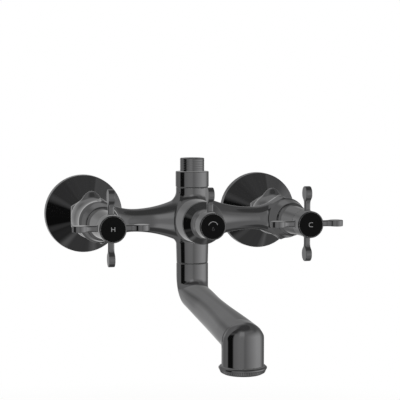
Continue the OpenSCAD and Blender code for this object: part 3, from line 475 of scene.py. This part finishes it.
def spoutBody(x, a, z):
    turn, length = math.radians(spoutShape["bend"]), spoutShape["length"]
    bendR, bendAt = spoutShape["bendR"], spoutShape["bendAt"]
    startA, startZ = bendR * (1 - math.cos(turn)), bendAt - bendR * math.sin(turn)
    along = (a - startA) * math.sin(turn) - (z - startZ) * math.cos(turn)
    # the run hangs a little, lowest at its waist
    waistAt = spoutShape["waistAt"]
    share = np.where(along < waistAt, along / waistAt, (length - along) / (length - waistAt))
    sag = spoutShape["sag"] * np.sin(math.pi / 2 * np.clip(share, 0, 1)) ** 2
    over = (a - startA) * math.cos(turn) + (z - startZ) * math.sin(turn)
    over = over + sag
    late = np.clip((along - 40) / (length - 40), 0, 1)
    r = spoutShape["waistR"] + spoutShape["startSwell"] * (1 - eased(along / waistAt))
    r = r + spoutShape["endSwell"] * late ** 1.3
    # its top is flattened to one straight line, and it widens sideways to the outlet
    top = spoutShape["top"] + spoutShape["topRise"] * np.maximum(along, 0) + sag
    flat = np.where(over > 0, np.clip(top / r, 0.5, 1), 1)
    widen = 1 - 0.114 * eased((along - 55) / 62)
    reach = near(x * widen, over / flat) + 0.001
    wall = (reach - r) * reach / (near(x * widen, over / flat ** 2) + 0.001)
    run = np.maximum(wall, np.maximum(-along, along - length))
    tail = near(x, a) - spoutShape["tailR"]
    upright = np.maximum(common(tail, z + 34.4, 0.3), bendAt - z)
    aroundBend = near(near(a - bendR, z - bendAt) - bendR, x)
    inBend = (z < bendAt) & (along < 0) & (a < bendR)
    bend = np.where(inBend, np.maximum(aroundBend - spoutShape["tailR"], np.minimum(tail, wall)), 50)
    tube = np.minimum(np.minimum(run, upright), bend)
    # a fillet in the crook, which fades where the two skins run alike
    inCrook = (a > 2) & (over > 1.5) & (z < -36) & (along < 30)
    crook = joined(tail, wall, 0.01 + spoutShape["crookFillet"] * np.sqrt(np.clip(1 - (x / 12.3) ** 2, 0, 1)))
    tube = np.minimum(tube, np.where(inCrook, crook, 50))
    # the outlet is a barrel under a rounded roof
    r, foot = spoutShape["outletR"], spoutShape["outletFoot"]
    aboutOutlet = near(x, a - outletReach)
    roof = near(x, np.maximum(z + 71.3, 0)) - r - 0.15
    shoulder = 0.6 + spoutShape["shoulder"] * np.clip(1 - (x / 13.5) ** 2, 0, 1)
    outlet = common(common(aboutOutlet - r, roof, shoulder), foot - z, 0.3)
    shape = joined(tube, outlet, 0.3 + spoutShape["outletFillet"] * np.clip(-over / 8, 0, 1))
    boreR = spoutShape["boreR"]
    bore = np.maximum(near(x, over) - boreR, np.maximum(-along, along - 127.8))
    bore = np.minimum(bore, np.where(inBend, aroundBend - boreR, 50))
    bore = np.minimum(bore, rod(near(x, a), z, boreR, bendAt, -30))
    # no hollow comes nearer than 1.5 mm to the skin above it
    bore = np.maximum(bore, np.where(z < -44, tube + 1.5, -50))
    for hollow in (bore, rod(near(x, a), z, 9.43, -42.43, -30),
                   common(aboutOutlet - spoutShape["outletHollow"], roof + 2.5, 6), rod(aboutOutlet, z, 13, -90, -78)):
        shape = carved(shape, hollow)
    return shape


# ---------- handles, lever and nuts ----------

handleShape = {"cell": 0.36, "hubR": 10.1, "hubLength": 14.8, "armBack": 9.4, "bladeR": 5.5, "bladeAt": 22.9,
               "stemHalf": 1.7, "rootSweep": 6.0, "half": 2.3, "bladeEdge": 0.4, "stemEdge": 1.35, "hubFillet": 0.9}


def handleBody(reach, arms):
    # a hub whose face is that far in front, with four arms or only the upper one
    def shape(x, a, z):
        r = near(x, z)
        hub = rod(r, a, handleShape["hubR"], reach - handleShape["hubLength"], reach, 0.2)
        chamfer = ((r - handleShape["hubR"]) * 0.9 + (a - reach + 0.9) * 0.63) / 1.0986
        hub = common(hub, chamfer, 0.12)
        if arms == 4:
            out, thick = np.maximum(np.abs(x), np.abs(z)), np.minimum(np.abs(x), np.abs(z))
        else:
            out, thick = z, np.abs(x)
        # seen from the side an arm is a round blade that sweeps down to a thin stem
        wide = np.abs(a - (reach - handleShape["armBack"]))
        size, sweep, stem = handleShape["bladeR"], handleShape["rootSweep"], handleShape["stemHalf"]
        up, off = out - handleShape["bladeAt"], stem + sweep
        drop = math.sqrt((size + sweep) ** 2 - off ** 2)
        blade = np.where(off * up > -drop * wide, near(wide, up) - size,
                         np.where(up > -drop, sweep - near(wide - off, up + drop), wide - stem))
        blade = np.maximum(blade, 2 - out)
        # the stem is rounded, the blade has crisp edges
        sharper = handleShape["bladeEdge"] - handleShape["stemEdge"]
        edge = handleShape["stemEdge"] + sharper * eased((up + 6.5) / 3.5)
        arm = common(blade, thick - handleShape["half"], edge)
        whole = joined(hub, arm, handleShape["hubFillet"])
        for hole, start, stop in ((9.18, reach - 2.1, reach + 5), (4.4, reach - 6.7, reach), (2.1, reach - 20, reach),
                                  (3.93, reach - 20, reach - 8.2)):
            whole = carved(whole, rod(r, a, hole, start, stop, 0.06))
        return whole
    return shape


nutShape = {"cell": 0.4, "halfFlats": 14.4, "cornerR": 15.4, "collarR": 13.6, "threadR": 13.18}


def unionNut(x, a, z):
    # a hexagon with a corner up, and a round collar behind it
    r, half = near(x, z), nutShape["halfFlats"]
    slabs = [np.abs(x) - half, np.abs(x / 2 + z * 0.8660254) - half, np.abs(x / 2 - z * 0.8660254) - half]
    hexagon = common(common(slabs[0], slabs[1], 0.35), slabs[2], 0.35)
    fromMiddle = np.abs(a + 41.9)
    bevel = ((r - nutShape["cornerR"]) * 0.66 + (fromMiddle - 3.1) * 1.2) / 1.37
    nut = common(common(hexagon, fromMiddle - 3.1, 0.2), bevel, 0.25)
    nut = joined(nut, common(r - nutShape["collarR"], np.abs(a + 45.2) - 3.2, 0.2), 0.3)
    return carved(carved(nut, rod(r, a, 10.7, -41.3, -30)), rod(r, a, nutShape["threadR"], -60, -40.8))


# ---------- making the castings ----------

def nodeGrid(node, margin=1.5):
    # a node's box in (x, a, z) millimetres
    low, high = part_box(node)
    return ((low.x * 1000 - margin, (bodyY - high.y) * 1000 - margin, low.z * 1000 - margin),
            (high.x * 1000 + margin, (bodyY - low.y) * 1000 + margin, high.z * 1000 + margin))


def cast(name, shape, cell, body, node, finish="buffed"):
    # a meshed shape in a node's place
    low, high = nodeGrid(node)
    points, faces, normals = castMesh(shape, low, high, cell)
    points, normals = placed(points, normals)
    print(" ", name, len(faces), "faces")
    return smoothObject(name, points, faces, normals, finishes[finish], body, [node])


cast("cast_body", mixerBody, casting["cell"], "mixer_body", "body")
cast("swinging_spout", spoutBody, spoutShape["cell"], "spout_swinging", "spout")
cross = handleBody(handleReach, 4)
for side, shift in (("hot", -inletHalf), ("cold", inletHalf)):
    cast(side + "_cross_handle", lambda x, a, z: cross(x - shift, a, z), handleShape["cell"], side + "_handle_turning",
         side + "_handle")
    cast(side + "_nut", lambda x, a, z: unionNut(x - shift, a, z), nutShape["cell"], "mixer_body", side + "_union_nut")
cast("lever", handleBody(leverReach, 1), handleShape["cell"], "diverter_turning", "diverter_lever")
print("castings made")


# ---------- making the turned pieces ----------

def turned(name, corners, place, body, node, finish):
    # a piece from the lathe, in a node's place
    points, faces, normals = spun(*turnedProfile(corners))
    points, normals = place(points, normals)
    return smoothObject(name, points, faces, normals, finishes[finish], body, [node])


# corners of each section: radius, height and corner radius
flangeSection = [(30.6, -73, 0), (30.6, -76, 0.1), (32.1, -76, 0.2), (31.85, -69.1, 0.15), (31.55, -68.63, 0.2),
                 (13.7, -48.62, 0.15), (13.3, -48.62, 0.1), (13.3, -50.9, 0.2), (15.5, -52.9, 0.3), (30.6, -69.6, 0.3),
                 (30.6, -73, 0)]
bonnetSection = [(7.23, 30, 0), (7.23, 23.45, 0.1), (11.5, 23.45, 0.1), (11.5, 23.9, 0.05), (12.3, 23.9, 0.05),
                 (10.85, 26.1, 8.8), (10, 53, 0.3), (4.4, 53, 0.1), (4.4, 51.5, 0.1), (8.5, 51.5, 0.1), (8.5, 44, 0.1),
                 (7.23, 44, 0.1), (7.23, 30, 0)]
# heights of the cap are from the hub's face
capSection = [(3.5, -3, 0), (3.5, -3.85, 0.1), (4.36, -3.85, 0.1), (4.36, -2.07, 0.05), (9.15, -2.07, 0.15),
              (9.15, -0.17, 0.22), (0.01, -0.17, 0), (0.01, -2.07, 0)]
flareSection = [(8.03, 40, 0), (8.03, 36.07, 0.1), (16, 36.07, 0.15), (16, 36.5, 0.2), (10.8, 43.0, 6), (10, 50.1, 0.3),
                (4.4, 50.1, 0.1), (4.4, 48.6, 0.1), (8.5, 48.6, 0.1), (8.5, 45.3, 0.1), (8.03, 45.3, 0.1), (8.03, 40, 0)]
collarSection = [(6.5, 20, 0), (6.5, 17.2, 0.1), (9.97, 17.2, 0.2), (9.97, 25.5, 0.1), (12.6, 25.5, 0.1),
                 (13, 25.9, 0.15), (13, 37.3, 0.15), (12.6, 37.7, 0.1), (8.63, 37.7, 0.1), (8.63, 27.5, 0.1),
                 (6.5, 27.5, 0.1), (6.5, 20, 0)]

for side, x in (("hot", -inletHalf), ("cold", inletHalf)):
    at = lambda p, n: facing(p, n, x)
    turned(side + "_wall_flange", flangeSection, at, "mixer_body", side + "_flange", "spun")
    turned(side + "_sleeve", bonnetSection, at, "mixer_body", side + "_bonnet", "level")
    section = [(r, a + handleReach, edge) for r, a, edge in capSection]
    turned(side + "_cap", section, at, side + "_handle_turning", side + "_index_cap", "cap")
turned("flared_sleeve", flareSection, facing, "mixer_body", "diverter_bonnet", "level")
section = [(r, a + leverReach, edge) for r, a, edge in capSection]
turned("diverter_cap", section, facing, "diverter_turning", "diverter_index_cap", "cap")
turned("top_collar", collarSection, standing, "mixer_body", "shower_collar", "upright")
print("turned pieces made")


# ---------- making the threaded stub and the knurled ring ----------

def textured(name, profile, facets, press, place, body, node, finish):
    # a spun piece whose radius is pressed in by press(angle, z); its normals are taken from the mesh
    profile = np.array(profile, float)
    n = len(profile)
    points, faces, _ = spun(profile, np.zeros_like(profile), facets)
    angle = np.arctan2(points[:, 1], points[:, 0])
    depth = press(angle, points[:, 2], np.hypot(points[:, 0], points[:, 1]))
    points[:, :2] -= np.stack([np.cos(angle), np.sin(angle)], 1) * depth[:, None]
    grid = points.reshape(facets, n, 3)
    around = np.roll(grid, -1, 0) - np.roll(grid, 1, 0)
    up = np.gradient(grid, axis=1)
    normals = np.cross(around, up).reshape(-1, 3)
    normals /= np.maximum(np.linalg.norm(normals, axis=1, keepdims=True), 1e-9)
    points, normals = place(points, normals)
    return smoothObject(name, points, faces, normals, finishes[finish], body, [node])


def walked(corners, step):
    # a rounded profile cut into short lengths
    points = np.array(turnedProfile(corners)[0])
    out = [points[0]]
    for p, q in zip(points[:-1], points[1:]):
        count = max(1, int(np.linalg.norm(q - p) / step))
        out += [p + (q - p) * k / count for k in range(1, count + 1)]
    return out


stub = {"pitch": 1.337, "depth": 0.14, "from": 38.4, "to": 47.6}


def threadDepth(angle, z, r):
    # one start, rounded crests and roots, running out at both ends
    turnShare = (z / stub["pitch"] - angle / (2 * math.pi)) % 1
    wave = np.clip(1.7 * np.cos(2 * math.pi * turnShare) - 0.7, 0, 1)
    fade = np.clip((z - stub["from"]) / 0.6, 0, 1) * np.clip((stub["to"] - z) / 0.6, 0, 1)
    return stub["depth"] * wave * fade * (r > 9)


stubSection = [(6.5, 33, 0), (6.5, 28.7, 0.1), (8.6, 28.7, 0.3), (8.6, 37.73, 0.1), (9.5, 37.73, 0.1), (9.5, 47.6, 0.15),
               (8.9, 48.2, 0.15), (6.5, 48.2, 0.25), (6.5, 33, 0)]
textured("threaded_stub", walked(stubSection, 0.12), 120, threadDepth, standing, "mixer_body", "shower_nipple", "upright")

knurling = {"count": 64, "depth": 0.38, "from": -4.5, "to": -1.9}


def knurlDepth(angle, z, r):
    # upright grooves that fade out at both ends
    share = (angle * knurling["count"] / (2 * math.pi)) % 1
    groove = np.clip(np.cos(2 * math.pi * share) * 1.6 - 0.3, 0, 1)
    fade = np.clip((z - knurling["from"]) / 0.3, 0, 1) * np.clip((knurling["to"] - z) / 0.3, 0, 1)
    return knurling["depth"] * groove * fade * (r > 15)


ringSection = [(10.2, -4, 0), (10.2, -5.3, 0.1), (13.4, -5.3, 0.3), (15.2, -4.3, 0.4), (16.2, -1.9, 0.2),
               (16.5, -1.7, 0.15), (16.5, -0.9, 0.45), (15.5, -0.05, 0.4), (12.97, -0.05, 0.05), (12.97, 7.6, 0.2),
               (11.2, 7.6, 0.2), (11.2, -3.33, 0.1), (10.2, -3.33, 0.1), (10.2, -4, 0)]
textured("knurled_ring", walked(ringSection, 0.3), 640, knurlDepth,
         lambda p, n: standing(p, n, 0, outletReach, spoutShape["outletFoot"]), "spout_swinging", "aerator_ring", "upright")
print("thread and knurl made")


# ---------- printed marks on the caps ----------

def strokes(name, lines, width, reach, x, finish, body):
    # flat printed strokes along lines of points in the cap's plane, a skin in front and one behind it
    points, faces = [], []
    for line in lines:
        line = np.array(line, float)
        d = np.gradient(line, axis=0)
        d /= np.linalg.norm(d, axis=1, keepdims=True)
        side = np.stack([-d[:, 1], d[:, 0]], 1) * width / 2
        for layer in (-0.2, -0.155):
            start = len(points)
            points += [(p[0], reach + layer, p[1]) for p in np.concatenate([line - side, line + side])]
            m = len(line)
            faces += [(start + i, start + i + 1, start + m + i + 1, start + m + i) for i in range(m - 1)]
    points = np.array(points)
    points, normals = placed(points, np.tile([0.0, 1.0, 0.0], (len(points), 1)), (x, 0, 0))
    return smoothObject(name, points, np.array(faces), normals, finishes[finish], body, None)


def arcLine(cx, cz, r, start, end, count=24):
    angles = [math.radians(start + (end - start) * k / count) for k in range(count + 1)]
    return [(cx + r * math.cos(angle), cz + r * math.sin(angle)) for angle in angles]


marks = {"stroke": 0.42, "thinStroke": 0.3}
letterH = [[(-1.2, -1.65), (-1.2, 1.65)], [(1.2, -1.65), (1.2, 1.65)], [(-1.0, 0), (1.0, 0)]]
letterC = [[(1.5, 1.5), (0.2, 1.5)] + arcLine(-0.25, 0.25, 1.25, 90, 180, 8)[1:]
           + arcLine(-0.25, -0.25, 1.25, 180, 270, 8) + [(1.5, -1.5)]]
wideArc = [arcLine(0.1, 0.1, 3.6, 18, 162)]
drop = [[(0.1, -0.1), (-0.9, -2.6)], [(-0.9, -2.6), (1.1, -2.6)], [(1.1, -2.6), (0.1, -0.1)]]
strokes("hot_letter", letterH, marks["stroke"], handleReach, -inletHalf, "ink", "hot_handle_turning")
strokes("cold_letter", letterC, marks["stroke"], handleReach, inletHalf, "ink", "cold_handle_turning")
strokes("diverter_arc", wideArc, marks["stroke"], leverReach, 0, "ink", "diverter_turning")
strokes("diverter_drop", drop, marks["thinStroke"], leverReach, 0, "paleInk", "diverter_turning")
print("marks made")


# ---------- studio ----------

# What the metal mirrors: a grey room with a dark ceiling and floor, and panels in it, painted in order. Headings are
# degrees to the right of straight in front, given about each panel's middle: where it starts, is full, is still
# full and ends. Heights are degrees over the horizon in the same four steps.
studio = {"floorDrop": 0.42, "floor": "#f4f4f2", "floorHalf": 6.0,
          "room": {"level": 0.31, "ends": 0.11, "low": (-72, -62), "high": (50, 72)},
          "panels": [
              {"name": "ceiling over the front", "heading": (38, -125, -100, 100, 125),
               "height": (40, 62, 95, 99), "level": 0.11},
              {"name": "grey wall, right", "heading": (110, -55, -30, 40, 60),
               "height": (14, 36, 60, 62), "level": 0.19},
              {"name": "dark corner, low right", "heading": (145, -40, -22, 26, 34),
               "height": (-64, -58, -28, -14), "level": 0.13},
              {"name": "wall behind", "heading": (182, -26, -11, 14, 31),
               "height": (-22, -16, 7, 19), "level": 0.68},
              {"name": "wall behind, upper", "heading": (177, -19, -9, 8, 18),
               "height": (10, 20, 32, 58), "level": 0.54},
              {"name": "wide window", "heading": (78, -78, -12, 14, 40),
               "height": (-32, -14, 2, 30), "level": 0.74},
              {"name": "strip light", "heading": (-27, -36, -8, 14, 21),
               "height": (-64, -58, 38, 52), "level": 0.39},
              {"name": "its lower lamp", "heading": (-27, -16, -10, 12, 19),
               "height": (-64, -56, -36, -20), "level": 0.55},
              {"name": "its upper lamp", "heading": (-27, -16, -10, 12, 19),
               "height": (4, 20, 36, 50), "level": 0.53},
              {"name": "shade over the flag", "heading": (-88, -20, -14, 20, 44),
               "height": (24, 36, 62, 80), "level": 0.085},
              {"name": "shade under the flag", "heading": (-92, -16, -10, 12, 22),
               "height": (-75, -55, -38, -28), "level": 0.055},
              {"name": "black flag", "heading": (-88, -19, -13, 15, 23),
               "height": (-44, -24, 16, 38), "level": 0.011}]}


def windowed(tree, source, start, full, still, end):
    # one between full and still, falling to zero at start and end; angles in degrees
    rise, fall = [addNode(tree, "ShaderNodeMapRange", {"From Min": math.radians(low), "From Max": math.radians(high)},
                          {"Value": source}) for low, high in ((start, full), (end, still))]
    both = addNode(tree, "ShaderNodeMath", {"operation": "MULTIPLY"},
                   {0: rise.outputs["Result"], 1: fall.outputs["Result"]})
    return both.outputs[0]


def makeStudio():
    # white light for everything but mirrors, which see the room and its panels
    world = bpy.data.worlds.new("soft studio")
    bpy.context.scene.world = world
    world.use_nodes = True
    tree = world.node_tree
    tree.nodes.clear()
    way = addNode(tree, "ShaderNodeTexCoord")
    parts = addNode(tree, "ShaderNodeSeparateXYZ", {}, {"Vector": way.outputs["Generated"]})
    toFront = addNode(tree, "ShaderNodeMath", {"operation": "MULTIPLY", 1: -1.0}, {0: parts.outputs["Y"]})
    heading = addNode(tree, "ShaderNodeMath", {"operation": "ARCTAN2"}, {0: parts.outputs["X"], 1: toFront.outputs[0]})
    height = addNode(tree, "ShaderNodeMath", {"operation": "ARCSINE"}, {0: parts.outputs["Z"]})
    room = studio["room"]
    inside = windowed(tree, height.outputs[0], *room["low"], *room["high"])
    base = addNode(tree, "ShaderNodeMapRange", {"To Min": room["ends"], "To Max": room["level"]}, {"Value": inside})
    level = base.outputs["Result"]
    for panel in studio["panels"]:
        centre, *steps = panel["heading"]
        offset = addNode(tree, "ShaderNodeMath", {"operation": "SUBTRACT", 1: math.radians(centre)},
                         {0: heading.outputs[0]})
        about = addNode(tree, "ShaderNodeMath", {"operation": "WRAP", 1: math.pi, 2: -math.pi}, {0: offset.outputs[0]})
        across, upwards = windowed(tree, about.outputs[0], *steps), windowed(tree, height.outputs[0], *panel["height"])
        mask = addNode(tree, "ShaderNodeMath", {"operation": "MULTIPLY"}, {0: across, 1: upwards})
        mix = addNode(tree, "ShaderNodeMix", {3: panel["level"]}, {0: mask.outputs[0], 2: level})
        mix.label = panel["name"]
        level = mix.outputs[0]
    mirrored = addNode(tree, "ShaderNodeBackground", {}, {"Color": level})
    plain = addNode(tree, "ShaderNodeBackground", {"Color": (1, 1, 1, 1), "Strength": 1.0})
    ray = addNode(tree, "ShaderNodeLightPath")
    mixed = addNode(tree, "ShaderNodeMixShader", {},
                    {0: ray.outputs["Is Glossy Ray"], 1: plain.outputs[0], 2: mirrored.outputs[0]})
    addNode(tree, "ShaderNodeOutputWorld", {}, {"Surface": mixed.outputs[0]})


def makeFloor():
    # a pale floor well below; far from the object it turns to the white of the backdrop
    half, z = studio["floorHalf"], -studio["floorDrop"]
    mesh = bpy.data.meshes.new("studio_floor")
    mesh.from_pydata([(-half, -half, z), (half, -half, z), (half, half, z), (-half, half, z)], [], [(0, 1, 2, 3)])
    floor = bpy.data.objects.new("studio_floor", mesh)
    bpy.context.scene.collection.objects.link(floor)
    material, tree, shader = newMaterial("painted studio floor", studio["floor"], 0.0, 0.7)
    place = addNode(tree, "ShaderNodeTexCoord")
    away = addNode(tree, "ShaderNodeVectorMath", {"operation": "LENGTH"}, {0: place.outputs["Object"]})
    far = addNode(tree, "ShaderNodeMapRange", {"From Min": 0.45, "From Max": 1.3}, {"Value": away.outputs["Value"]})
    ray = addNode(tree, "ShaderNodeLightPath")
    seen = addNode(tree, "ShaderNodeMath", {"operation": "MAXIMUM"},
                   {0: ray.outputs["Is Camera Ray"], 1: ray.outputs["Is Transmission Ray"]})
    share = addNode(tree, "ShaderNodeMath", {"operation": "MULTIPLY"}, {0: far.outputs[0], 1: seen.outputs[0]})
    white = addNode(tree, "ShaderNodeEmission", {"Color": (1, 1, 1, 1), "Strength": 1.0})
    mixed = addNode(tree, "ShaderNodeMixShader", {}, {0: share.outputs[0], 1: shader.outputs[0], 2: white.outputs[0]})
    tree.links.new(mixed.outputs[0], tree.nodes["Material Output"].inputs["Surface"])
    mesh.materials.append(material)
    floor.visible_glossy = False


def makeCamera():
    # the photograph's viewpoint: a little to the left and above, looking slightly down
    data = bpy.data.cameras.new("camera")
    data.lens, data.sensor_width = 112.24, 36.0
    camera = bpy.data.objects.new("camera", data)
    bpy.context.scene.collection.objects.link(camera)
    camera.location = (-0.231504, -1.025135, 0.088837)
    camera.rotation_mode = "QUATERNION"
    camera.rotation_quaternion = Vector((0.242399, 0.967244, -0.075376)).to_track_quat("-Z", "Y")
    bpy.context.scene.camera = camera


makeStudio()
makeFloor()
makeCamera()
for piece in bpy.context.scene.objects:
    # the pieces mirror the studio and not one another, as in the photograph
    piece.visible_glossy = False
bpy.context.scene.view_settings.view_transform = "Standard"
print("studio and camera set")
